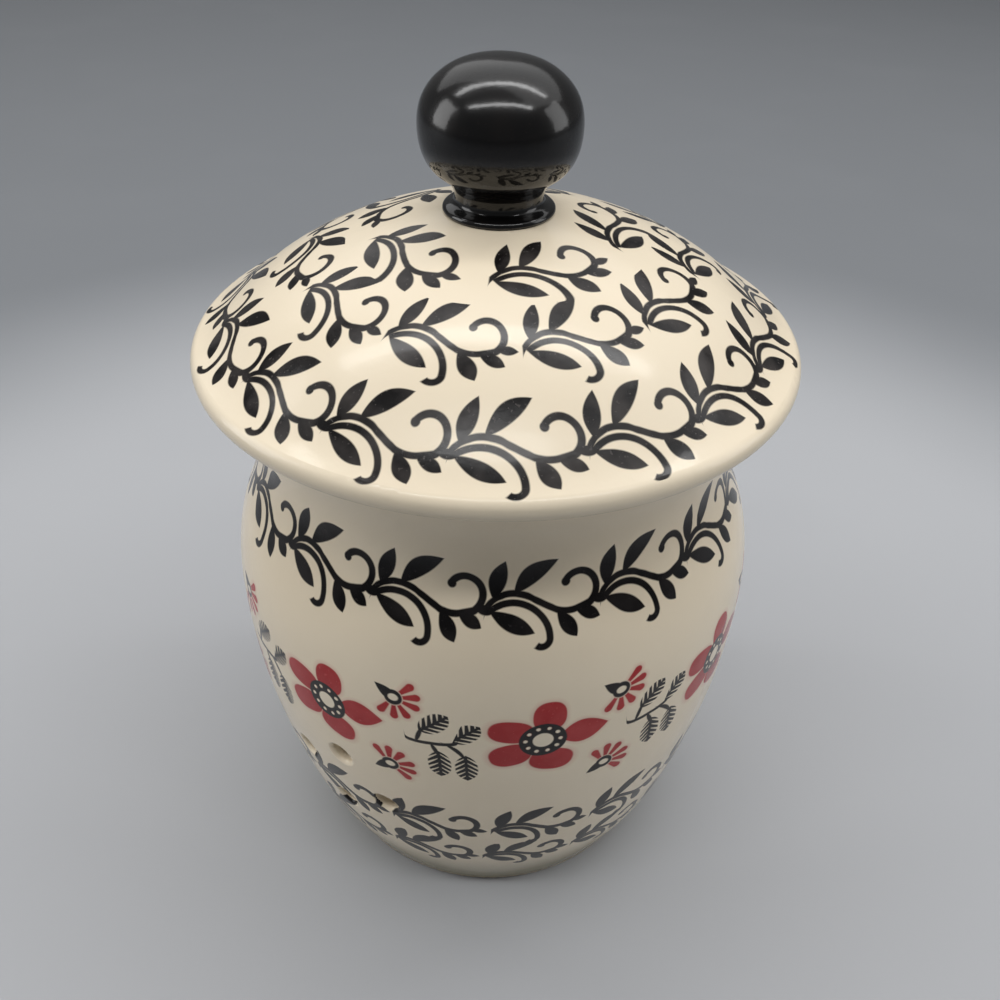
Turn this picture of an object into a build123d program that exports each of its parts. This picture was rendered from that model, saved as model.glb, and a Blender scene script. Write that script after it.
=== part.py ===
from build123d import *
import os
from math import atan2, cos, degrees, hypot, pi, radians, sin, sqrt

# Garlic keeper in glazed stoneware: a pierced barrel-shaped jar, a broad domed
# lid that drops into its mouth, and a ball knob luted to the lid's crown.
# Millimetres. +Z is up, the origin is the centre of the foot on the table, and
# the two groups of vent holes face -Y and +Y.

# ---- jar body -------------------------------------------------------------
JAR_HEIGHT = 130.0          # foot to the flat of the lip
FOOT_RADIUS = 41.2          # outer edge of the foot
FOOT_EDGE = 0.8             # rounding of the foot's outer edge
FOOT_RING_WIDTH = 4.6       # flat ring that stands on the table
FOOT_RECESS = 2.0           # depth of the hollow inside the foot ring
HEEL_RADIUS = 46.4          # wall just above the foot
HEEL_HEIGHT = 13.0
WAIST_RADIUS = 52.7         # wall below the belly
WAIST_HEIGHT = 35.0
BELLY_RADIUS = 57.3         # widest circle of the barrel
BELLY_DROP = 55.0           # below the flat of the lip, as the next two drops are
SHOULDER_RADIUS = 54.0
SHOULDER_DROP = 36.0
NECK_DROP = 18.0            # narrowest circle, where the lip starts to flare
NECK_WALL = 4.4             # wall at the neck
LIP_WIDTH = 8.6             # wall at the lip, which flares out under the lid
LIP_EDGE = 1.2              # rounding of the lip's two edges
MOUTH_RADIUS = 44.0         # bore of the neck, which takes the lid's flange
JAR_WALL = 5.0
FLOOR_THICKNESS = 4.5       # floor of the jar above the foot's hollow
FLOOR_CORNER = 10.0         # how far the floor's flat stays inside the foot

# ---- vent holes -----------------------------------------------------------
VENT_RADIUS = 2.7
VENT_RING_RADIUS = 10.9     # each group is four holes on this circle
VENT_RING_HEIGHT = 43.2     # the circle's centre above the table
VENTS_PER_GROUP = 4
VENT_RING_TURN = -10.0      # degrees that the ring is turned from holes above and beside its centre
VENT_EDGE = 0.8             # rounding of each hole's rim, outside and inside

# ---- lid ------------------------------------------------------------------
RIM_OVERHANG = 7.4          # lid's outer edge outside the jar's lip
RIM_ROLL = 2.6              # radius of the rolled rim
RIM_DROP = 1.0              # rim's centre line below the lid's seat
RIM_FLARE = 65.0            # degrees round the roll where the dome leaves it
CROWN_RISE = 25.6           # flat of the crown above the rim's centre line
BRIM_INSET = 8.4            # foot of the dome, in from the lid's edge, as the next insets are
BRIM_RISE = 6.9
HAUNCH_INSET = 14.0
HAUNCH_RISE = 11.2
DOME_INSET = 21.6
DOME_RISE = 15.9
CAP_INSET = 36.0
CAP_RISE = 21.8
LID_WALL = 5.0
SEAT_OVERLAP = 1.5          # flat of the lid that runs on past the jar's lip
FLANGE_CLEARANCE = 1.0      # play of the flange in the mouth, all round
FLANGE_DEPTH = 8.0          # flange below the seat
FLANGE_WALL = 4.0
FLANGE_EDGE = 1.2

# ---- knob -----------------------------------------------------------------
COLLAR_RADIUS = 10.6        # rounded collar at the knob's base
COLLAR_EDGE_RISE = 0.5      # widest circle of the collar above the crown, as the next rises are
COLLAR_TUCK = 0.3           # how far the collar draws in below its widest circle
ROLL_INSET = 1.1            # from the collar's edge to the top of its roll
ROLL_RISE = 1.5
STEM_RADIUS = 8.3           # narrowest circle, just above the collar
STEM_RISE = 2.7
NAPE_RADIUS = 11.8          # between the stem and the ball
NAPE_RISE = 7.5
BALL_RADIUS = 14.9
BALL_RISE = 15.6            # widest circle above the crown
BALL_CAP = 11.5             # top of the ball above its widest circle
BALL_FULL_OUT = 0.76        # cap's shoulder, as a share of the ball's radius
BALL_FULL_UP = 0.70         # and as a share of the cap's height

# ---- worked-out sizes -----------------------------------------------------
NECK_RADIUS = MOUTH_RADIUS + NECK_WALL
LIP_RADIUS = MOUTH_RADIUS + LIP_WIDTH
RIM_RADIUS = LIP_RADIUS + RIM_OVERHANG
RIM_HEIGHT = JAR_HEIGHT - RIM_DROP
CROWN_HEIGHT = RIM_HEIGHT + CROWN_RISE
FLANGE_RADIUS = MOUTH_RADIUS - FLANGE_CLEARANCE

# ---- ways an outline leaves a point, as (outwards, upwards) ---------------
UP = (0, 1)
DOWN = (0, -1)
OUT = (1, 0)
INWARD = (-1, 0)
FOOT_WAY = (0.42, 1)        # the wall leans out as it leaves the foot
CROWN_WAY = (1, -0.25)      # the dome already falls where it leaves the crown


def offset_point(point, before, after, distance):
    """The point moved inwards by distance, square to the line from before to after."""
    run, rise = after[0] - before[0], after[1] - before[1]
    length = hypot(run, rise)
    return (point[0] - distance * rise / length, point[1] + distance * run / length)


def height_on_line(radius, start, end):
    """Height at radius on the straight line through two outline points."""
    return start[1] + (radius - start[0]) * (end[1] - start[1]) / (end[0] - start[0])


def revolve_profile(draw):
    """Solid of revolution about Z of the closed outline that draw() adds in the XZ plane."""
    with BuildPart() as turned:
        with BuildSketch(Plane.XZ):
            with BuildLine():
                draw()
            make_face()
        revolve(axis=Axis.Z)
    return turned.part


def jar_outline():
    """Outer wall up to the lip, over the lip, down the bore and back across the floor."""
    foot = (FOOT_RADIUS, FOOT_EDGE)
    heel = (HEEL_RADIUS, HEEL_HEIGHT)
    waist = (WAIST_RADIUS, WAIST_HEIGHT)
    belly = (BELLY_RADIUS, JAR_HEIGHT - BELLY_DROP)
    shoulder = (SHOULDER_RADIUS, JAR_HEIGHT - SHOULDER_DROP)
    neck = (NECK_RADIUS, JAR_HEIGHT - NECK_DROP)
    lip = (LIP_RADIUS, JAR_HEIGHT - LIP_EDGE)
    lip_top = (LIP_RADIUS - LIP_EDGE, JAR_HEIGHT)
    mouth_top = (MOUTH_RADIUS + LIP_EDGE, JAR_HEIGHT)
    mouth = (MOUTH_RADIUS, JAR_HEIGHT - LIP_EDGE)

    ring_in = FOOT_RADIUS - FOOT_EDGE - FOOT_RING_WIDTH
    recess_in = ring_in - FOOT_RECESS
    floor = FOOT_RECESS + FLOOR_THICKNESS
    floor_edge = (FOOT_RADIUS - FLOOR_CORNER, floor)
    inner_heel = offset_point(heel, foot, waist, JAR_WALL)
    inner_waist = offset_point(waist, heel, belly, JAR_WALL)
    inner_belly = (BELLY_RADIUS - JAR_WALL, JAR_HEIGHT - BELLY_DROP)
    inner_shoulder = offset_point(shoulder, belly, neck, JAR_WALL)
    inner_neck = (MOUTH_RADIUS, JAR_HEIGHT - NECK_DROP - JAR_WALL)

    Polyline((0, FOOT_RECESS), (recess_in, FOOT_RECESS), (ring_in, 0), (FOOT_RADIUS - FOOT_EDGE, 0))
    TangentArc((FOOT_RADIUS - FOOT_EDGE, 0), foot, tangent=OUT)
    Spline(foot, heel, waist, belly, tangents=[FOOT_WAY, UP])
    Spline(belly, shoulder, neck, tangents=[UP, UP])
    Spline(neck, lip, tangents=[UP, UP])
    TangentArc(lip, lip_top, tangent=UP)
    Line(lip_top, mouth_top)
    TangentArc(mouth_top, mouth, tangent=INWARD)
    Line(mouth, inner_neck)
    Spline(inner_neck, inner_shoulder, inner_belly, tangents=[DOWN, DOWN])
    Spline(inner_belly, inner_waist, inner_heel, floor_edge, tangents=[DOWN, INWARD])
    Polyline(floor_edge, (0, floor), (0, FOOT_RECESS))


def vent_places():
    """Sideways place and height of each hole in a group, top hole first."""
    for k in range(VENTS_PER_GROUP):
        turn = radians(90 + VENT_RING_TURN + 360 * k / VENTS_PER_GROUP)
        yield VENT_RING_RADIUS * cos(turn), VENT_RING_HEIGHT + VENT_RING_RADIUS * sin(turn)


def is_vent_rim(edge):
    """True for a curved edge too short to go round anything but a vent hole."""
    once_round = 2 * pi * VENT_RADIUS
    return edge.geom_type == GeomType.BSPLINE and edge.length < 2 * once_round


def make_jar_body():
    body = revolve_profile(jar_outline)
    reach = 2 * BELLY_RADIUS + 2 * JAR_WALL
    for x, z in vent_places():
        pierce = Cylinder(VENT_RADIUS, reach, rotation=(90, 0, 0))
        body -= Pos(x, 0, z) * pierce
    return fillet(body.edges().filter_by(is_vent_rim), VENT_EDGE)


def dome_points():
    """Outer skin of the dome, from the crown's edge out to the foot of the dome."""
    crown = (COLLAR_RADIUS, CROWN_HEIGHT)
    cap = (RIM_RADIUS - CAP_INSET, RIM_HEIGHT + CAP_RISE)
    dome = (RIM_RADIUS - DOME_INSET, RIM_HEIGHT + DOME_RISE)
    haunch = (RIM_RADIUS - HAUNCH_INSET, RIM_HEIGHT + HAUNCH_RISE)
    brim = (RIM_RADIUS - BRIM_INSET, RIM_HEIGHT + BRIM_RISE)
    return crown, cap, dome, haunch, brim


def rim_point(angle):
    """Point on the rolled rim, angle in degrees up from its outermost point."""
    turn = radians(angle)
    centre = RIM_RADIUS - RIM_ROLL
    return (centre + RIM_ROLL * cos(turn), RIM_HEIGHT + RIM_ROLL * sin(turn))


def underside_angle(seat_edge):
    """Where a straight underside from the seat's edge meets the roll, in rim_point's degrees."""
    run = RIM_RADIUS - RIM_ROLL - seat_edge[0]
    fall = seat_edge[1] - RIM_HEIGHT
    length = hypot(run, fall)
    tangent_length = sqrt(length**2 - RIM_ROLL**2)
    return -degrees(atan2(fall, run) + atan2(RIM_ROLL, tangent_length)) - 90


def lid_outline():
    """Crown, dome, rolled rim, seat, locating flange and the hollow under the dome."""
    crown, cap, dome, haunch, brim = dome_points()
    flare = rim_point(RIM_FLARE)
    flare_way = (sin(radians(RIM_FLARE)), -cos(radians(RIM_FLARE)))
    seat_edge = (LIP_RADIUS + SEAT_OVERLAP, JAR_HEIGHT)
    under = rim_point(underside_angle(seat_edge))

    flange_foot = JAR_HEIGHT - FLANGE_DEPTH
    flange_in = FLANGE_RADIUS - FLANGE_WALL
    round_top = flange_foot + FLANGE_EDGE
    outer_round = (FLANGE_RADIUS - FLANGE_EDGE, flange_foot)
    inner_round = (flange_in + FLANGE_EDGE, flange_foot)
    inner_crown = (COLLAR_RADIUS, CROWN_HEIGHT - LID_WALL)
    inner_cap = offset_point(cap, dome, crown, LID_WALL)
    inner_dome = offset_point(dome, haunch, cap, LID_WALL)
    inner_haunch = offset_point(haunch, brim, dome, LID_WALL)
    flange_top = (flange_in, height_on_line(flange_in, inner_dome, inner_haunch))

    Line((0, CROWN_HEIGHT), crown)
    Spline(crown, cap, dome, haunch, brim, flare, tangents=[CROWN_WAY, flare_way])
    ThreePointArc(flare, rim_point(0), under)
    Polyline(under, seat_edge, (FLANGE_RADIUS, JAR_HEIGHT), (FLANGE_RADIUS, round_top))
    TangentArc((FLANGE_RADIUS, round_top), outer_round, tangent=DOWN)
    Line(outer_round, inner_round)
    TangentArc(inner_round, (flange_in, round_top), tangent=INWARD)
    Polyline((flange_in, round_top), flange_top, inner_dome)
    Spline(inner_dome, inner_cap, inner_crown)
    Polyline(inner_crown, (0, CROWN_HEIGHT - LID_WALL), (0, CROWN_HEIGHT))


def make_lid_dome():
    return revolve_profile(lid_outline)


def knob_outline():
    """Rounded collar, stem, nape and a ball that is a little flattened on top."""
    base = CROWN_HEIGHT
    collar_low = (COLLAR_RADIUS - COLLAR_TUCK, base)
    collar_out = (COLLAR_RADIUS, base + COLLAR_EDGE_RISE)
    roll_top = (COLLAR_RADIUS - ROLL_INSET, base + ROLL_RISE)
    stem = (STEM_RADIUS, base + STEM_RISE)
    nape = (NAPE_RADIUS, base + NAPE_RISE)
    girth = (BALL_RADIUS, base + BALL_RISE)
    full = (BALL_RADIUS * BALL_FULL_OUT, base + BALL_RISE + BALL_CAP * BALL_FULL_UP)
    top = (0, base + BALL_RISE + BALL_CAP)

    Polyline((0, base), collar_low, collar_out)
    Spline(collar_out, roll_top, stem, tangents=[UP, UP])
    Spline(stem, nape, girth, tangents=[UP, UP])
    Spline(girth, full, top, tangents=[UP, INWARD])
    Line(top, (0, base))


def make_lid_knob():
    return revolve_profile(knob_outline)


PARTS = {
    "jar_body": make_jar_body,
    "lid_dome": make_lid_dome,
    "lid_knob": make_lid_knob,
}

os.makedirs("parts", exist_ok=True)
for node, make in PARTS.items():
    shape = make()
    shape.label = node
    export_step(shape, f"parts/{node}.step")
    size = shape.bounding_box().size
    print(f"{node}: {size.X:.1f} x {size.Y:.1f} x {size.Z:.1f} mm, {shape.volume / 1000:.1f} cm3")
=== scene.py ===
# %% [markdown]
# # A garlic keeper in glazed stoneware
# The real keeper is three fired pieces: a barrel-shaped jar pierced with vent holes, a broad domed
# lid with a flange that drops into the jar's mouth, and a ball knob luted to the lid before firing.
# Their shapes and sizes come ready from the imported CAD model, so this lesson is about the surface:
# cream glaze, a painted vine and flowers, and black glaze on the knob.

# %% Load the frame
import math

import bmesh
import bpy
from mathutils import Matrix, Quaternion, Vector


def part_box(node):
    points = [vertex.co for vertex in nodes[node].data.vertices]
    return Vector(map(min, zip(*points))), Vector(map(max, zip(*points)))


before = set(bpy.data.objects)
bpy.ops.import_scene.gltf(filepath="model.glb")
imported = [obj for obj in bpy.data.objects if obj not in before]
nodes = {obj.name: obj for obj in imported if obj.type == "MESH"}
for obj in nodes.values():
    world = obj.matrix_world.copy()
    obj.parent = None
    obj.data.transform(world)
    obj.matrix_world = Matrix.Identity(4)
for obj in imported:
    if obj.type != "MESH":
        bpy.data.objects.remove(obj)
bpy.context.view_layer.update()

# %% [markdown]
# ## Arithmetic that reads like arithmetic
# A painted pattern that has to be sharp at any distance is best worked out by the material itself:
# for every point of the glaze it asks how far the point lies from each brush stroke. That takes a few
# hundred Math nodes. A picture wrapped round the pot would blur close up, and nodes wired one by one
# are slow to read, so this small class lets + - * on a value add the nodes.

# %% A value that makes nodes
MM = 0.001                   # one millimetre in Blender's metres


class Reading:
    """A number that a material works out at each point of a surface, in millimetres or turns."""

    def __init__(self, tree, socket):
        self.tree, self.socket = tree, socket

    def work(self, operation, *values):
        """What a Math node makes of the values, each of them a reading or a plain number."""
        node = self.tree.nodes.new("ShaderNodeMath")
        node.operation = operation
        for place, value in zip(node.inputs, values):
            if isinstance(value, Reading):
                self.tree.links.new(value.socket, place)
            else:
                place.default_value = value
        return Reading(self.tree, node.outputs[0])

    def __add__(self, other):
        return self.work("ADD", self, other)

    def __sub__(self, other):
        return self.work("SUBTRACT", self, other)

    def __rsub__(self, other):
        return self.work("SUBTRACT", other, self)

    def __mul__(self, other):
        return self.work("MULTIPLY", self, other)

    def __abs__(self):
        return self.work("ABSOLUTE", self)

    def times_plus(self, factor, shift):
        """The reading times factor plus shift, in a single node."""
        return self.work("MULTIPLY_ADD", self, factor, shift)

    def wrapped(self, half):
        """The reading moved by whole rounds until it lies between -half and half."""
        return self.work("WRAP", self, half, -half)

    def above(self, level):
        """1 where the reading is above the level, and 0 elsewhere."""
        return self.work("GREATER_THAN", self, level)

    def clamped(self):
        """The same reading, kept between 0 and 1."""
        self.socket.node.use_clamp = True
        return self

    def ramp(self, start, full):
        """0 up to start, 1 from full on, and a straight line between. full may be the lower one."""
        return self.times_plus(1 / (full - start), -start / (full - start)).clamped()

    def painted(self, edge):
        """1 well inside a stroke and 0 well outside it, over a soft edge this wide each way."""
        return self.times_plus(-0.5 / edge, 0.5).clamped()


def nearest(*distances):
    """The smallest distance, which joins the shapes that the distances belong to."""
    found = distances[0]
    for distance in distances[1:]:
        found = found.work("MINIMUM", found, distance)
    return found


def length_of(across, up):
    """The straight way to a point that lies this far across and this far up."""
    return across.work("SQRT", up.times_plus(up, across * across))


print("Reading ready")

# %% [markdown]
# ## Strokes
# The decorator prints most of the pattern with small sponges cut to shape: pointed leaves, curls, and
# round or oval petals. Each shape here is a formula that is negative inside the stroke and grows with
# the distance outside it, so that shapes join by taking the smallest value, overlap by taking the
# largest, and a soft edge can be laid over the line where it passes zero.

# %% Leaf
def leaf(across, up, base, tip, half_width, belly=0.0, bow=0.0):
    """A pointed leaf. belly moves its widest place towards the base, bow bends it to the left."""
    run, rise = tip[0] - base[0], tip[1] - base[1]
    length = math.hypot(run, rise)
    run, rise = run / length, rise / length
    offset_along = -(base[0] * run + base[1] * rise) / length
    offset_side = base[0] * rise - base[1] * run
    along = across.times_plus(run / length, up.times_plus(rise / length, offset_along))
    side = across.times_plus(-rise, up.times_plus(run, offset_side))
    hump = along * (1.0 - along)        # 1/4 halfway along, so 4 times as much is a full half width
    press = along.times_plus(-4 * half_width * belly, 4 * half_width * (1 + belly / 2))
    press = press.work("MAXIMUM", press, half_width)
    return abs(hump.times_plus(-4 * bow, side)) - hump * press


print("leaf ready")

# %% [markdown]
# A dot is a plain distance from its middle. Petals are ovals with fuller corners than an ellipse has,
# because a soft sponge swells as it is pressed, so the shares of the two half axes are raised to a power
# above 2 before they are added.

# %% Dot and oval
BLUNT = 2.4                  # 2 would be an ellipse, and more fills its corners


def dot(across, up, centre, radius):
    return length_of(across - centre[0], up - centre[1]) - radius


def blunt_oval(across, up, centre, half_length, half_width, tilt):
    """An oval with full corners, whose long axis is turned by tilt degrees from the level."""
    cosine, sine = math.cos(math.radians(tilt)), math.sin(math.radians(tilt))
    right, high = across - centre[0], up - centre[1]
    long_way = abs(right * (cosine / half_length) + high * (sine / half_length))
    short_way = abs(high * (cosine / half_width) - right * (sine / half_width))
    sum_of_powers = long_way.work("POWER", long_way, BLUNT) + short_way.work("POWER", short_way, BLUNT)
    return (sum_of_powers.work("POWER", sum_of_powers, 1 / BLUNT) - 1.0) * half_width


print("dot and oval ready")

# %% [markdown]
# Curls, hooks and long bends are parts of rings. The radius may change along an arc, so that a curl
# winds in.

# %% Arc
def arc(across, up, centre, radii, turns, half_width):
    """Part of a ring between two turns, in degrees that grow from straight down up the right side."""
    middle = math.radians(turns[0] + turns[1]) / 2
    half = math.radians(turns[1] - turns[0]) / 2
    right, high = across - centre[0], up - centre[1]
    reach = length_of(right, high)
    swing = right.work("ARCTAN2", right, high * -1.0)
    swing = swing.work("WRAP", swing, middle + math.pi, middle - math.pi) - middle
    mean_radius, growth = (radii[0] + radii[1]) / 2, (radii[1] - radii[0]) / (2 * half)
    line = abs(reach - swing.times_plus(growth, mean_radius)) - half_width
    return line.work("MAXIMUM", line, abs(swing).times_plus(mean_radius, -half * mean_radius))


print("arc ready")

# %% [markdown]
# A stem is a free line through a few points. A Float Curve node turns such points into a smooth
# height. The gap above or below it is wider than the true distance where the line is steep, so it is
# thinned by the cosine of the slope, which a second curve gives.

# %% Line through points
def smooth_curve(value, points):
    """A Float Curve through points, as a reading of value."""
    left, run = points[0][0], points[-1][0] - points[0][0]
    lowest = min(height for place, height in points)
    rise = max(height for place, height in points) - lowest
    node = value.tree.nodes.new("ShaderNodeFloatCurve")
    handles = node.mapping.curves[0].points
    for place, height in points[1:-1]:
        handles.new((place - left) / run, (height - lowest) / rise)
    handles[0].location = (0.0, (points[0][1] - lowest) / rise)
    handles[-1].location = (1.0, (points[-1][1] - lowest) / rise)
    node.mapping.update()
    value.tree.links.new(value.times_plus(1 / run, -left / run).socket, node.inputs["Value"])
    return Reading(value.tree, node.outputs[0]).times_plus(rise, lowest)


def line_through(across, up, points, half_width):
    """A line of even width through points that run from left to right."""
    slopes = []
    for before, after in zip(points[:1] + points[:-1], points[1:] + points[-1:]):
        slopes.append(math.cos(math.atan2(after[1] - before[1], after[0] - before[0])))
    thinning = smooth_curve(across, [(point[0], slope) for point, slope in zip(points, slopes)])
    line = abs(up - smooth_curve(across, points)) * thinning - half_width
    middle, half = (points[0][0] + points[-1][0]) / 2, (points[-1][0] - points[0][0]) / 2
    return line.work("MAXIMUM", line, abs(across - middle) - half)


print("line ready")

# %% [markdown]
# ## The running vine
# One printed vine fills all the borders. It starts at a fork: the stem climbs over a low hill, dips
# and ends in a curl, and a second branch runs close under the hill and drops to a small hook. Leaves
# stand on the hill, buds hang from the dip, and a short thorn reaches on to the next fork. A stroke
# that crosses the seam between two prints has to be measured from the nearer one, so the way round
# the pot is wrapped about the middle of the left strokes and, a second time, of the right strokes.

# %% One print of the vine
STEM_HALF, CURL_EXTRA = 0.55, 0.08       # half the stem's width, and how much fatter the curl is, mm
STEM = [
    # mm right of the fork and above it
    (0.0, 0.0), (0.9, 1.2), (3.1, 2.7), (5.0, 3.1), (6.8, 2.9), (9.5, 1.7),
    (12.2, 0.2), (14.0, -0.6), (15.8, -0.85), (17.6, -0.6), (20.4, 0.2),
]
LEFT_MIDDLE, RIGHT_MIDDLE = 10.0, 18.5       # mm right of the fork, for the left and the right strokes
LEFT_LEAVES = [
    # base, tip, half width, belly, bow
    ((0.8, -0.1), (8.8, -4.1), 1.45, -0.5, 0.0),
    ((1.5, 1.9), (3.8, 9.4), 1.6, 0.1, 0.3),
    ((5.4, 3.0), (13.6, 9.2), 1.7, 0.0, 0.9),
    ((13.2, -0.3), (16.4, -5.7), 1.35, -0.6, 0.0),
]
RIGHT_LEAVES = [
    ((16.5, -0.5), (21.0, -3.0), 1.1, -0.6, 0.0),
    ((19.6, 0.3), (23.4, -0.2), 0.85, 0.0, 0.0),
]
# arcs: centre, first and last radius, first and last degree, half width
BRANCH = ((5.2, -5.0), (6.3, 6.5), (88, 222), STEM_HALF)
HOOK = ((10.05, -5.2), (1.45, 1.45), (-40, 94), STEM_HALF)
CURL = ((17.6, 2.9), (3.75, 3.0), (0, 235), STEM_HALF + CURL_EXTRA)
CURL_END = ((15.2, 4.5), 0.8)                # centre and radius of the dot that ends the curl


def vine(along, up, pitch):
    """Distance to the vine's strokes. along is 0 at a fork and pitch is the way to the next one."""

    def nearest_print(middle):
        half = pitch * 0.5
        return along.work("WRAP", along, half + middle, middle - half)

    left, right = nearest_print(LEFT_MIDDLE), nearest_print(RIGHT_MIDDLE)
    strokes = [
        line_through(left, up, STEM, STEM_HALF),
        arc(left, up, *BRANCH),
        arc(left, up, *HOOK),
        arc(right, up, *CURL),
        dot(right, up, *CURL_END),
    ]
    strokes += [leaf(left, up, *shape) for shape in LEFT_LEAVES]
    strokes += [leaf(right, up, *shape) for shape in RIGHT_LEAVES]
    return nearest(*strokes)


print("vine:", len(STEM), "points in its stem,", len(LEFT_LEAVES) + len(RIGHT_LEAVES), "leaves and buds")

# %% [markdown]
# ## Flowers, buds and fir sprigs
# Red flowers go round the belly. Each has five petals round a dark ring with pale dots in it, its
# seeds. They lie evenly, so one is drawn and the turn round the flower is wrapped.

# %% Flower
RING_RADIUS, MIDDLE_RADIUS = 4.7, 2.0            # of the dark ring and its pale middle, mm
SEEDS, SEED_REACH, SEED_RADIUS = 10, 3.4, 0.45   # how many dots, how far out they lie, and how big
PETALS = [
    # centre, half length, half width, tilt
    ((1.1, 6.4), 3.3, 3.7, 0),
    ((2.0, -6.2), 4.4, 3.3, -12),
    ((-6.3, -4.0), 4.3, 3.2, 18),
    ((-6.4, 2.9), 4.5, 3.1, -8),
]
POINTED_PETAL = ((3.0, 0.4), (13.4, 1.4), 3.2, 0.25)     # base, tip, half width, belly


def flower(across, up):
    """Distances to the red petals, the dark ring and the pale middle with its seeds."""
    petals = [blunt_oval(across, up, *shape) for shape in PETALS]
    petals.append(leaf(across, up, *POINTED_PETAL))
    reach = length_of(across, up)
    swing = reach.work("ARCTAN2", up, across).wrapped(math.pi / SEEDS)
    seeds = length_of(reach - SEED_REACH, swing * SEED_REACH) - SEED_RADIUS
    return nearest(*petals), reach - RING_RADIUS, nearest(reach - MIDDLE_RADIUS, seeds)


print("flower:", len(PETALS) + 1, "petals and", SEEDS, "seeds")

# %% [markdown]
# Two fan-shaped buds stand on the right of each flower, one above the other and mirror images, so that
# one is drawn and the height is folded.

# %% Bud
BUD_FOLD, BUD_RISE = -1.4, 10.5          # height of the mirror line, and of a bud's middle beyond it
BUD_MIDDLE, BUD_LEAN = 14.85, 0.85       # mm right of the flower; the upper bud past it, the lower before
BUD_PETALS = (-122, -88, -56, -19, 12, 43)      # degrees round the bud
BUD_THROAT, BUD_REACH = 2.1, 4.9         # from the bud's middle to a petal's narrow and its round end
BUD_END, BUD_WIDENING = 0.88, 0.16       # half a petal's width at the round end, and how fast it widens
DROP_RADIUS = 1.9
DROP_POINT = ((1.0, -0.65), (-3.8, 2.4), 1.3, 0.5)       # base, tip, half width, belly
EYE_SQUEEZE, EYE_RADIUS = 0.8, 0.85


def bud(across, up):
    """Distances to the red fan, the dark drop and its pale eye."""
    above_fold = up.above(BUD_FOLD)
    right = across - above_fold.times_plus(2 * BUD_LEAN, BUD_MIDDLE - BUD_LEAN)
    high = abs(up - BUD_FOLD) - BUD_RISE
    reach = length_of(right, high)
    swing = reach.work("ARCTAN2", high, right)
    off_petal = nearest(*[abs(swing - math.radians(turn)) for turn in BUD_PETALS]) * reach
    rounded_end = length_of(off_petal, reach - BUD_REACH) - BUD_END
    wedge = off_petal - reach.times_plus(BUD_WIDENING, BUD_END - BUD_WIDENING * BUD_REACH)
    length = (BUD_REACH - BUD_THROAT) / 2
    wedge = wedge.work("MAXIMUM", wedge, abs(reach - (BUD_THROAT + length)) - length)
    fan = nearest(rounded_end, wedge)
    drop = nearest(reach - DROP_RADIUS, leaf(right, high, *DROP_POINT))
    return fan, drop, length_of(right * EYE_SQUEEZE, high) - EYE_RADIUS


print("bud:", len(BUD_PETALS), "petals")

# %% [markdown]
# Between flowers lies a sprig with four feathery twigs. A twig is a full oval cut by slanting stripes,
# with a spine that holds them together.

# %% Twig
TWIG_HALF, TWIG_FULLNESS, TWIG_SLANT = 2.3, 3.0, 0.8
BARB_PITCH, BARB_HALF, BARB_TAPER = 1.45, 0.60, 0.13     # a barb is widest where it leaves the spine
SPINE_HALF = 0.3


def twig(across, up, base, tip):
    """A feathery twig: barbs that slant towards the tip on both sides of a spine."""
    run, rise = tip[0] - base[0], tip[1] - base[1]
    length = math.hypot(run, rise)
    run, rise = run / length, rise / length
    right, high = across - base[0], up - base[1]
    along = right * run + high * rise
    side = abs(high * run - right * rise)
    from_middle = abs(along.times_plus(2 / length, -1.0))
    outline = from_middle.work("POWER", from_middle, TWIG_FULLNESS).times_plus(TWIG_HALF, side) - TWIG_HALF
    barb = abs((along - side * TWIG_SLANT).wrapped(BARB_PITCH / 2)) + side * BARB_TAPER - BARB_HALF
    barbs = outline.work("MAXIMUM", outline, barb)
    spine = outline.work("MAXIMUM", outline, side - SPINE_HALF)
    return nearest(barbs, spine)


print("twig: a barb every", BARB_PITCH, "mm")

# %% [markdown]
# The twigs are pairs of equal ones, two over the stem and two under it. So one of each pair is drawn,
# and past a dividing line the readings are moved to draw the other.

# %% Sprig
SPRIG_STEM = [(-6.5, 0.6), (-4.5, -0.4), (-1.0, -0.3), (2.0, 0.0), (4.0, 0.9)]
SPRIG_STEM_HALF = 0.4
UPPER_TWIG, UPPER_STEP = ((-3.5, 2.8), (2.2, 8.0)), (6.1, 2.0)       # its ends, and the way to the next
LOWER_TWIG, LOWER_STEP = ((0.0, -2.3), (0.4, -10.7)), (5.5, 0.5)
UPPER_DIVIDE, LOWER_DIVIDE = (0.95, 0.31, 2.6), 2.9                  # lines between a twig and the next
STALKS = [
    # base, tip, half width, belly, bow
    ((-4.4, -0.8), (-2.9, 4.2), 0.45, 0.0, 0.0),
    ((-1.4, 0.0), (0.3, -4.2), 0.45, 0.0, 0.0),
    ((0.8, 0.4), (5.7, -4.6), 0.45, 0.0, 0.7),
]


def sprig(across, up):
    """Distance to the dark sprig: a level stem with two twigs above it and two below."""
    stem = line_through(across, up, SPRIG_STEM, SPRIG_STEM_HALF)
    second = (across * UPPER_DIVIDE[0] - up * UPPER_DIVIDE[1]).above(UPPER_DIVIDE[2])
    upper = twig(across - second * UPPER_STEP[0], up + second * UPPER_STEP[1], *UPPER_TWIG)
    last = across.above(LOWER_DIVIDE)
    lower = twig(across - last * LOWER_STEP[0], up + last * LOWER_STEP[1], *LOWER_TWIG)
    stalks = [leaf(across, up, *shape) for shape in STALKS]
    return nearest(stem, upper, lower, *stalks)


print("sprig:", len(STALKS), "stalks and 4 twigs")

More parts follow.
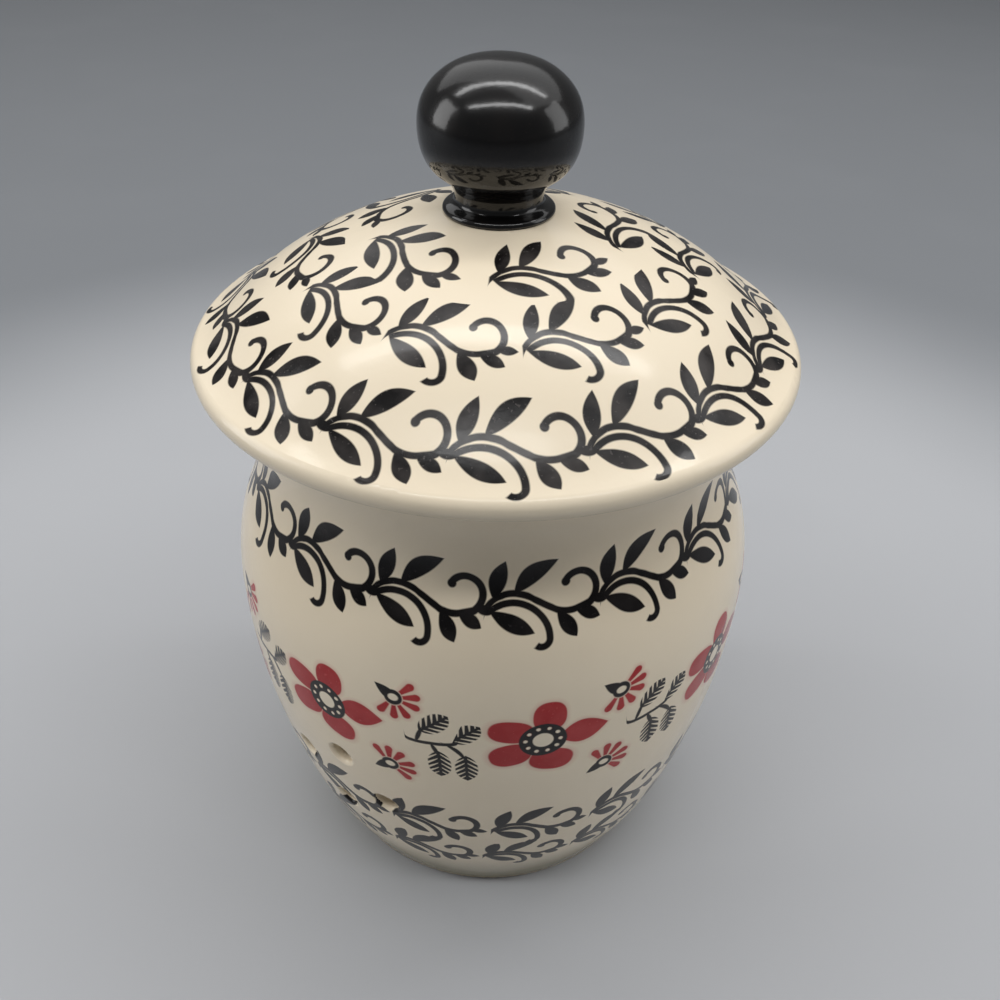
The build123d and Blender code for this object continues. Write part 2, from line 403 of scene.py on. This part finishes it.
# %% [markdown]
# ## Cream glaze with painted bands
# The glaze is a hard gloss coat over cream stoneware, with the colours painted under it. So every
# colour shares one smooth surface: the ink only changes the base colour. Metal oxide in the ink thins
# out in patches where the sponge ran dry, and the red bleeds a little pink into the cream around it.

# %% Colours
CREAM = (0.846, 0.745, 0.584, 1)
CREAM_WARM = (0.815, 0.700, 0.525, 1)
INK = (0.005, 0.0042, 0.0042, 1)
INK_THIN = (0.020, 0.017, 0.017, 1)
INK_WORN = (0.055, 0.048, 0.045, 1)          # on the lid, which hands rub the most
RED = (0.370, 0.016, 0.018, 1)
RED_THIN = (0.460, 0.045, 0.045, 1)
PINK = (0.640, 0.330, 0.270, 1)
FOOT_CREAM_AND_SHADE = (0.380, 0.335, 0.210, 1)        # greenish glaze near the foot, also darkened there as painted shade
BARE_CLAY = (0.560, 0.470, 0.350, 1)
print("colours ready")

# %% [markdown]
# Each finish is put together from the same few steps: a new material, noise, a mix of two colours under
# a mask, and the place of each point in millimetres. Places are Object coordinates, which stay with a
# piece when it moves, so the paint does too.

# %% Helpers for materials
def new_material(name):
    material = bpy.data.materials.new(name)
    material.use_nodes = True
    tree = material.node_tree
    return material, tree, tree.nodes["Principled BSDF"]


def node_of(tree, kind, **settings):
    made = tree.nodes.new(kind)
    for setting, value in settings.items():
        setattr(made, setting, value)
    return made


def noise(tree, place, scale, detail=2.0, output="Fac"):
    """Noise on Object coordinates: scale is the number of blobs per metre."""
    made = node_of(tree, "ShaderNodeTexNoise")
    made.inputs["Scale"].default_value = scale
    made.inputs["Detail"].default_value = detail
    tree.links.new(place, made.inputs["Vector"])
    return made.outputs[output]


def mixed(tree, mask, under, over):
    """under where mask is 0 and over where it is 1. Each is a colour or a socket."""
    made = node_of(tree, "ShaderNodeMix", data_type="RGBA")
    places = [made.inputs[0], made.inputs[6], made.inputs[7]]
    for place, value in zip(places, (mask, under, over)):
        if isinstance(value, Reading):
            tree.links.new(value.socket, place)
        elif isinstance(value, bpy.types.NodeSocket):
            tree.links.new(value, place)
        else:
            place.default_value = value
    return made.outputs[2]


def pot_readings(tree):
    """Object coordinates, x, y and z in millimetres, the turn round the axis, and the skin's normal."""
    coordinates = node_of(tree, "ShaderNodeTexCoord")
    place = coordinates.outputs["Object"]
    split = node_of(tree, "ShaderNodeSeparateXYZ")
    tree.links.new(place, split.inputs[0])
    x, y, z = (Reading(tree, split.outputs[k]) * (1 / MM) for k in range(3))
    turn = x.work("ARCTAN2", x, y * -1.0) * (0.5 / math.pi)
    facing = node_of(tree, "ShaderNodeSeparateXYZ")
    tree.links.new(coordinates.outputs["Normal"], facing.inputs[0])
    normal = [Reading(tree, facing.outputs[k]) for k in range(3)]
    return place, x, y, z, turn, normal


print("helpers ready")

# %% [markdown]
# ## The glaze's own surface
# A fired glaze is never quite flat. It ripples gently over a couple of centimetres, has fine pits, and
# is a little duller in some places than in others. All three come from noise, one for each size: the
# ripples and pits through a Bump node, the dull patches through the roughness. Where clay is bare, its
# colour and a high roughness take over and the coat goes.

# %% Finish a glaze
RIPPLES, PITS, DULL_PATCHES = 55.0, 900.0, 30.0          # blobs per metre
PIT_SHARE = 0.06             # depth of a pit beside that of a ripple
DULLING = 0.10               # spread of the roughness between patches
CLAY_ROUGHER = 0.6           # added to the roughness where clay is bare
GLAZE_IOR = 1.5
COAT_ROUGHNESS = 0.05


def finish_glaze(tree, shader, place, colour, wave_depth, roughness, gloss, coat, bare=None):
    """A hard gloss with a faint ripple and fine pits. Where bare is 1, matt clay shows instead.
    wave_depth is the height of a ripple in millimetres."""
    ripple = Reading(tree, noise(tree, place, RIPPLES))
    pits = Reading(tree, noise(tree, place, PITS, 1.0))
    bump = node_of(tree, "ShaderNodeBump")
    bump.inputs["Strength"].default_value = 1.0
    bump.inputs["Distance"].default_value = wave_depth * MM
    tree.links.new((ripple.times_plus(1.0, pits * PIT_SHARE)).socket, bump.inputs["Height"])
    tree.links.new(bump.outputs["Normal"], shader.inputs["Normal"])
    patches = Reading(tree, noise(tree, place, DULL_PATCHES, 3.0))
    rough = patches.times_plus(DULLING, roughness - DULLING / 2)
    shader.inputs["Coat Weight"].default_value = coat
    shader.inputs["Specular IOR Level"].default_value = gloss
    if bare:
        colour = mixed(tree, bare, colour, BARE_CLAY)
        rough = bare.times_plus(CLAY_ROUGHER, rough)
        tree.links.new(bare.times_plus(-coat, coat).socket, shader.inputs["Coat Weight"])
    tree.links.new(colour, shader.inputs["Base Color"])
    tree.links.new(rough.socket, shader.inputs["Roughness"])
    shader.inputs["Coat Roughness"].default_value = COAT_ROUGHNESS
    shader.inputs["IOR"].default_value = GLAZE_IOR


print("glaze ready: ripples", round(1000 / RIPPLES), "mm and pits", round(1000 / PITS, 1), "mm apart")

# %% [markdown]
# ## Uneven colour and an unsteady hand
# Plain colours and exact curves would look printed by a machine. Noise mixes a warmer cream into the
# cream and a thin ink into the ink, and leaves pinholes where air was trapped under the sponge. One
# more noise moves each stroke by a fraction of a millimetre.

# %% Cream, ink and shake
CREAM_DRIFT, INK_PATCHES, PINHOLES, WOBBLES = 22.0, 160.0, 1500.0, 70.0      # blobs per metre
CREAM_CONTRAST, CREAM_SHIFT = 1.6, -0.3      # noise stays near 0.5: one spreads it, the other moves it
INK_CONTRAST, INK_SHIFT = 2.4, -0.9
PINHOLE_LEVEL, PINHOLE_DEPTH = 0.70, 1.6     # the higher the level, the fewer pinholes
SHAKE = 0.8                                  # mm between the furthest slips of the hand


def cream_colour(tree, place):
    """Cream that drifts a little towards a warmer tone."""
    drift = Reading(tree, noise(tree, place, CREAM_DRIFT, 3.0))
    return mixed(tree, drift.times_plus(CREAM_CONTRAST, CREAM_SHIFT).clamped(), CREAM, CREAM_WARM)


def ink_colour(tree, place, full, thin):
    """A colour that runs from full to thin in patches, and is thin in pinholes too."""
    patches = Reading(tree, noise(tree, place, INK_PATCHES, 3.0)).times_plus(INK_CONTRAST, INK_SHIFT)
    pinholes = Reading(tree, noise(tree, place, PINHOLES, 1.0)).above(PINHOLE_LEVEL)
    return mixed(tree, pinholes.times_plus(PINHOLE_DEPTH, patches).clamped(), full, thin)


def hand_shake(tree, place):
    """A small sideways and upward slip of the hand, in millimetres."""
    split = node_of(tree, "ShaderNodeSeparateColor")
    tree.links.new(noise(tree, place, WOBBLES, 1.0, "Color"), split.inputs[0])
    return [Reading(tree, split.outputs[k]).times_plus(SHAKE, -SHAKE / 2) for k in range(2)]


print("colours drift over", round(1000 / CREAM_DRIFT), "mm and strokes wobble by", SHAKE, "mm")

# %% [markdown]
# ## The jar
# The jar carries one border on its shoulder and two round its foot, with the flower band between
# them. Only one border lies at any height, so the height first picks the border's line, where it
# starts and how long a print is there, and then a single vine is worked out. Paint goes on the
# outside only: inside and in the holes the skin doesn't face outwards. The foot ring is bare clay,
# because glaze there would stick the pot to the kiln shelf.

# %% The jar's three borders
SOFT_EDGE = 0.13             # mm over which a stroke's edge fades
JAR_PRINTS = 15                          # in each border, all the way round
BAND_TOP, BAND_LOW, HEEL_LOW, FOOT_LOW = 90.0, 49.0, 30.3, 15.0      # heights between bands, mm
SHOULDER, HEEL, FOOT = 0, 1, 2
JAR_LINES = (100.3, 37.2, 22.5)          # heights of the forks on shoulder, heel and foot
JAR_PITCHES = (21.5, 24.6, 24.6)         # mm from one fork to the next there, as the print was cut
JAR_STARTS = (34.5, 12.9, 34.8)          # degrees round the pot to a fork
JAR_HEIGHTS = (1.0, 1.0, 0.85)           # how tall the print comes out there
JAR_SPREADS = (0.09, 0.17, 0.24)         # mm that the ink runs out over a stroke's edge there


def jar_vines(z, turn, height, slip_x):
    """Ink of the three borders, and 1 in the band of flowers between them."""
    high, low = z.above(BAND_TOP), 1.0 - z.above(HEEL_LOW)

    def by_border(values):
        first_step, last_step = values[SHOULDER] - values[HEEL], values[FOOT] - values[HEEL]
        return high.times_plus(first_step, low.times_plus(last_step, values[HEEL]))

    pitch = by_border(JAR_PITCHES)
    prints = (turn * JAR_PRINTS) - by_border([start * JAR_PRINTS / 360 for start in JAR_STARTS])
    up = (height - by_border(JAR_LINES)) * by_border([1 / tall for tall in JAR_HEIGHTS])
    distance = vine(prints * pitch + slip_x, up, pitch) - by_border(JAR_SPREADS)
    in_flowers = z.above(BAND_LOW) * (1.0 - high)
    return distance.painted(SOFT_EDGE) * (1.0 - in_flowers) * z.above(FOOT_LOW), in_flowers


print("borders at", JAR_LINES, "mm, with", JAR_PRINTS, "prints each")

# %% [markdown]
# Round the belly one degree of turn is one millimetre of glaze, so the flowers can be drawn in
# millimetres with the turn as their sideways measure.

# %% The jar's band of flowers
FLOWERS, FLOWER_LINE, FLOWER_START = 8, 71.5, 46.3       # how many, their height, degrees to a flower
SPRIG_LINE, SPRIG_SHIFT = 70.0, -20.6                    # height of a sprig, and its place by a flower
SPRIG_SPREAD = 0.06                                      # mm that a sprig's ink runs out


def jar_flowers(turn, height, slip_x):
    """Distance to the red shapes, and masks of the pale and the dark ones."""
    half_pitch = 180 / FLOWERS
    across = turn.times_plus(360, -FLOWER_START) + slip_x
    up = height - FLOWER_LINE
    by_flower = across.wrapped(half_pitch)
    petals, ring, pale = flower(by_flower, up)
    fan, drop, eye = bud(by_flower, up)
    twigs = sprig((across - SPRIG_SHIFT).wrapped(half_pitch), up + (FLOWER_LINE - SPRIG_LINE))
    pale = nearest(pale, eye).painted(SOFT_EDGE)
    dark = nearest(ring, drop).painted(SOFT_EDGE) * (1.0 - pale)
    return nearest(petals, fan), pale, dark + (twigs - SPRIG_SPREAD).painted(SOFT_EDGE)


print("flowers:", FLOWERS, "at", FLOWER_LINE, "mm")

# %% [markdown]
# The colours are laid in turn: cream, which turns greenish and darker near the foot as painted shade,
# then the pink that bleeds, the red, the pale dots, and the black last, over everything.

# %% Glaze the jar
BLEED, BLEED_STRENGTH = 1.1, 0.8         # mm that the red creeps into the cream, and how strongly
FOOT_SHADE_TOP, FOOT_SHADE_FULL = 19.0, 7.0        # heights between which the foot's greenish tint and painted shade come in
OUTWARD_ENOUGH = 0.35                    # how far the skin has to face outwards to be painted
BARE_FOOT = 1.6                          # mm of bare clay above the shelf
BARE_FADE = 0.3                          # mm over which glaze gives way to bare clay


def jar_glaze():
    material, tree, shader = new_material("jar_glaze_painted")
    place, x, y, z, turn, normal = pot_readings(tree)
    slip_x, slip_y = hand_shake(tree, place)
    height = z + slip_y
    outwards = normal[0] * x + normal[1] * y
    outside = outwards.work("DIVIDE", outwards, length_of(x, y)).above(OUTWARD_ENOUGH)

    vine_ink, in_flowers = jar_vines(z, turn, height, slip_x)
    red, pale, dark = jar_flowers(turn, height, slip_x)
    band = in_flowers * outside
    bleed = red.painted(BLEED) * band * BLEED_STRENGTH
    ink = (vine_ink + dark * in_flowers) * outside

    # painted shade: the cream darkens and turns greenish towards the foot
    foot_tint_and_shade = z.ramp(FOOT_SHADE_TOP, FOOT_SHADE_FULL) * outside
    colour = mixed(tree, foot_tint_and_shade, cream_colour(tree, place), FOOT_CREAM_AND_SHADE)
    colour = mixed(tree, bleed, colour, PINK)
    colour = mixed(tree, red.painted(SOFT_EDGE) * band, colour, ink_colour(tree, place, RED, RED_THIN))
    colour = mixed(tree, pale * band, colour, CREAM)
    colour = mixed(tree, ink, colour, ink_colour(tree, place, INK, INK_THIN))
    bare = height.ramp(BARE_FOOT, BARE_FOOT - BARE_FADE)
    look = {"wave_depth": 0.3, "roughness": 0.16, "gloss": 0.2, "coat": 0.12}
    finish_glaze(tree, shader, place, colour, bare=bare, **look)
    return material


def dress(node, material):
    mesh = nodes[node].data
    mesh.materials.clear()
    mesh.materials.append(material)
    print(node, "wears", material.name, "with", len(material.node_tree.nodes), "nodes")


dress("jar_body", jar_glaze())

# %% [markdown]
# ## The lid
# The lid has three borders, one inside the other. On a dome a pattern that is laid out by plain
# radius looks squeezed where the slope is steep, so the distance is measured as a thread would be
# held, straight from the crown's middle. The prints are as large in each border, so fewer of them go
# round near the knob. The edge of the flange that goes into the jar is bare clay.

# %% Glaze the lid
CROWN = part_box("lid_knob")[0].z / MM        # height of the crown's flat, mm
FLANGE_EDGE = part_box("lid_dome")[0].z / MM  # height of the flange's lower edge, mm
LID_LINES = (23.6, 38.6, 56.3)              # forks of the inner, middle and outer border, mm
LID_PRINTS = (5, 10, 15)                    # all the way round each border
LID_PITCHES = (28.0, 24.2, 21.6)            # mm from one fork to the next, as the print was cut
LID_STARTS = (32.0, 6.6, 4.1)               # degrees round the lid to a fork
LID_EDGES = (29.4, 46.05)                   # where one border ends and the next begins
LID_LAST = 63.6                             # where the last border ends
LID_SPREAD = 0.05                           # mm that the ink runs out over a stroke's edge
UPWARD_ENOUGH = 0.08                        # how far the skin has to face up to be painted
BARE_FLANGE = 1.5                           # mm of bare clay above the flange's edge


def lid_glaze():
    material, tree, shader = new_material("lid_glaze_painted")
    place, x, y, z, turn, normal = pot_readings(tree)
    slip_x, slip_y = hand_shake(tree, place)
    thread = length_of(length_of(x, y), z - CROWN)
    second, third = thread.above(LID_EDGES[0]), thread.above(LID_EDGES[1])

    def by_border(values):
        first_step, last_step = values[1] - values[0], values[2] - values[1]
        return third.times_plus(last_step, second.times_plus(first_step, values[0]))

    pitch = by_border(LID_PITCHES)
    starts = [start * prints / 360 for start, prints in zip(LID_STARTS, LID_PRINTS)]
    prints = turn * by_border(LID_PRINTS) - by_border(starts)
    up = by_border(LID_LINES) - thread + slip_y
    distance = vine(prints * pitch + slip_x, up, pitch) - LID_SPREAD
    ink = distance.painted(SOFT_EDGE) * normal[2].above(UPWARD_ENOUGH) * (1.0 - thread.above(LID_LAST))

    colour = cream_colour(tree, place)
    colour = mixed(tree, ink, colour, ink_colour(tree, place, INK, INK_WORN))
    bare_top = FLANGE_EDGE + BARE_FLANGE
    bare = (z + slip_y).ramp(bare_top, bare_top - BARE_FADE)
    look = {"wave_depth": 0.3, "roughness": 0.22, "gloss": 0.25, "coat": 0.12}
    finish_glaze(tree, shader, place, colour, bare=bare, **look)
    return material


dress("lid_dome", lid_glaze())

# %% [markdown]
# ## The knob
# The knob is dipped in a black glaze that stays thick and liquid in the kiln, so it fires to a
# deeper gloss than the cream, with faint brown clouds in it. Under the ball it gathers and is as
# smooth as a mirror, so the lid's vine shows in it. On top it is a little rougher. A weak and much
# rougher coat lays a halo round each lamp, as the fine haze on such a glaze does.

# %% Glaze the knob
BLACK = (0.0022, 0.0020, 0.0022, 1)
BLACK_THIN = (0.0060, 0.0045, 0.0040, 1)
SMOOTH_BELOW, ROUGH_ABOVE = CROWN + 10.0, CROWN + 17.0   # heights between which the glaze roughens, mm
UNDER_BALL, ON_TOP = 0.06, 0.14                          # its roughness below the first, above the second
HAZE_ROUGHNESS = 0.34                                    # of the coat


def knob_glaze():
    material, tree, shader = new_material("knob_glaze_black")
    place, x, y, z = pot_readings(tree)[:4]
    roughness = z.ramp(SMOOTH_BELOW, ROUGH_ABOVE).times_plus(ON_TOP - UNDER_BALL, UNDER_BALL)
    colour = ink_colour(tree, place, BLACK, BLACK_THIN)
    look = {"wave_depth": 0.2, "roughness": roughness, "gloss": 0.40, "coat": 0.25}
    finish_glaze(tree, shader, place, colour, **look)
    shader.inputs["Coat Roughness"].default_value = HAZE_ROUGHNESS
    return material


dress("lid_knob", knob_glaze())

# %% [markdown]
# ## Studio
# The pot stands on grey paper with a painted pool of light: its colour is palest round the pot and
# darker farther off, the same on all sides. It is a round sheet whose colour depends on how far a point
# lies from the pot. Near its edge, where the lamps hardly reach, the colour is painted lighter again, so
# that the sheet meets the room softly.

# %% Floor
VIEW_AZIMUTH = math.radians(35.5)
FLOOR_RADIUS, FLOOR_SIDES = 4.0, 96
# painted light: the paper is palest by the pot, darker farther off and lighter again at its edge
PAPER_PAINTED_POOL = (0.405, 0.413, 0.430, 1)
PAPER_PAINTED_DIM = (0.190, 0.200, 0.214, 1)
PAPER_PAINTED_EDGE_LIGHT = (0.620, 0.630, 0.650, 1)
POOL_FADE_START, POOL_FADE_END = 0.20, 0.38         # m from the pot's axis between which the painted pool of light fades
EDGE_LIGHT_START, EDGE_LIGHT_FULL = 1.4, 2.8         # and between which the paper is painted lighter again
CLOUDS, CLOUD_SPREAD = 9.0, 0.12         # blobs per metre, and how far they move the tone in all
PAPER_ROUGHNESS = 0.8


def make_floor():
    sheet = bmesh.new()
    bmesh.ops.create_circle(sheet, cap_ends=True, segments=FLOOR_SIDES, radius=FLOOR_RADIUS)
    mesh = bpy.data.meshes.new("paper_floor")
    sheet.to_mesh(mesh)
    sheet.free()
    floor = bpy.data.objects.new("paper_floor", mesh)
    bpy.context.scene.collection.objects.link(floor)
    return floor


def paper():
    """Grey paper darkening away from the pot as a painted pool of light, with a little uneven tone."""
    material, tree, shader = new_material("paper_floor")
    place, x, y = pot_readings(tree)[:3]
    cloud = Reading(tree, noise(tree, place, CLOUDS)).times_plus(CLOUD_SPREAD, -CLOUD_SPREAD / 2)
    away = length_of(x, y) * MM

    def eased(start, full):
        share = away.ramp(start, full)
        return (share * share) * share.times_plus(-2.0, 3.0)

    # painted light: the colour darkens away from the pot and lightens near the edge; the clouds are real
    # unevenness
    falloff_and_clouds = (eased(POOL_FADE_START, POOL_FADE_END) + cloud).clamped()
    colour = mixed(tree, falloff_and_clouds, PAPER_PAINTED_POOL, PAPER_PAINTED_DIM)
    colour = mixed(tree, eased(EDGE_LIGHT_START, EDGE_LIGHT_FULL), colour, PAPER_PAINTED_EDGE_LIGHT)
    tree.links.new(colour, shader.inputs["Base Color"])
    shader.inputs["Roughness"].default_value = PAPER_ROUGHNESS
    return material


floor = make_floor()
floor.data.materials.append(paper())
print("floor:", round(floor.dimensions.x, 2), "m across")

# %% [markdown]
# ## Light
# A wide, dim ceiling above and behind the pot lights the lid from everywhere at once and leaves the
# jar in the lid's shade. A panel on each side fills the shade. Two long thin tubes overhead, one just
# behind the pot and one before it, draw the bright arcs that show how glossy the black knob is, and a
# dim grey room fills the rest.

# %% Lamps and room
ROOM_COLOUR, ROOM_STRENGTH = (0.96, 0.98, 1.0, 1), 0.13
POT_MIDDLE = (0, 0, 0.1)
LAMPS = [
    # name, place, what it faces, size, watts; places run right, back and up as the pot is seen, in m
    ("ceiling", (0.0, 0.85, 1.0), (0, 0.85, 0), (2.6, 1.3), 8.8),
    ("panel_left", (-1.2, 0.0, 0.55), POT_MIDDLE, (0.6, 0.9), 5.5),
    ("panel_right", (1.2, 0.0, 0.55), POT_MIDDLE, (0.6, 0.9), 3.6),
    ("tube_high", (0.0, 0.17, 1.0), POT_MIDDLE, (1.5, 0.10), 4.3),
    ("tube_low", (0.0, -0.43, 1.1), POT_MIDDLE, (1.5, 0.10), 5.1),
]


def soft_box(name, place, aim, size, watts):
    lamp = bpy.data.lights.new(name, "AREA")
    lamp.shape, lamp.size, lamp.size_y = "RECTANGLE", size[0], size[1]
    lamp.energy = watts
    holder = bpy.data.objects.new(name, lamp)
    bpy.context.scene.collection.objects.link(holder)
    turned = Matrix.Rotation(VIEW_AZIMUTH, 4, "Z")
    holder.location = turned @ Vector(place)
    holder.rotation_mode = "QUATERNION"
    holder.rotation_quaternion = (turned @ (Vector(aim) - Vector(place))).to_track_quat("-Z", "Y")
    holder.visible_camera = False


def grey_room():
    world = bpy.data.worlds.new("grey_room")
    world.use_nodes = True
    background = world.node_tree.nodes["Background"]
    background.inputs["Color"].default_value = ROOM_COLOUR
    background.inputs["Strength"].default_value = ROOM_STRENGTH
    bpy.context.scene.world = world


for lamp in LAMPS:
    soft_box(*lamp)
grey_room()
print("lamps:", [lamp[0] for lamp in LAMPS])

# %% [markdown]
# ## Camera
# The keeper is seen from a little above, close by, so the lid's ellipse is open and the jar tapers
# away below it. The camera stands at an azimuth and an elevation from a point on the pot's axis.

# %% Place the camera
VIEW_ELEVATION = math.radians(37.2)
VIEW_DISTANCE = 0.2279                   # m from the point it aims at
VIEW_ROLL = math.radians(1.28)
AIM = Vector((0.0014, 0.0, 0.0865))
LENS, SENSOR_WIDTH = 36.0, 36.0          # mm


def place_camera():
    camera_data = bpy.data.cameras.new("studio_camera")
    camera_data.lens, camera_data.sensor_width = LENS, SENSOR_WIDTH
    camera_data.clip_start, camera_data.clip_end = 0.01, 20.0
    camera = bpy.data.objects.new("studio_camera", camera_data)
    bpy.context.scene.collection.objects.link(camera)
    turned = Matrix.Rotation(VIEW_AZIMUTH, 3, "Z")
    back = turned @ Vector((0, -math.cos(VIEW_ELEVATION), math.sin(VIEW_ELEVATION)))
    camera.location = turned @ AIM + back * VIEW_DISTANCE
    camera.rotation_mode = "QUATERNION"
    facing = (-back).to_track_quat("-Z", "Y")
    camera.rotation_quaternion = facing @ Quaternion((0, 0, 1), VIEW_ROLL)
    bpy.context.scene.camera = camera
    return camera


camera = place_camera()
bpy.context.scene.view_settings.view_transform = "Standard"
print("camera at", tuple(round(v, 3) for v in camera.location))
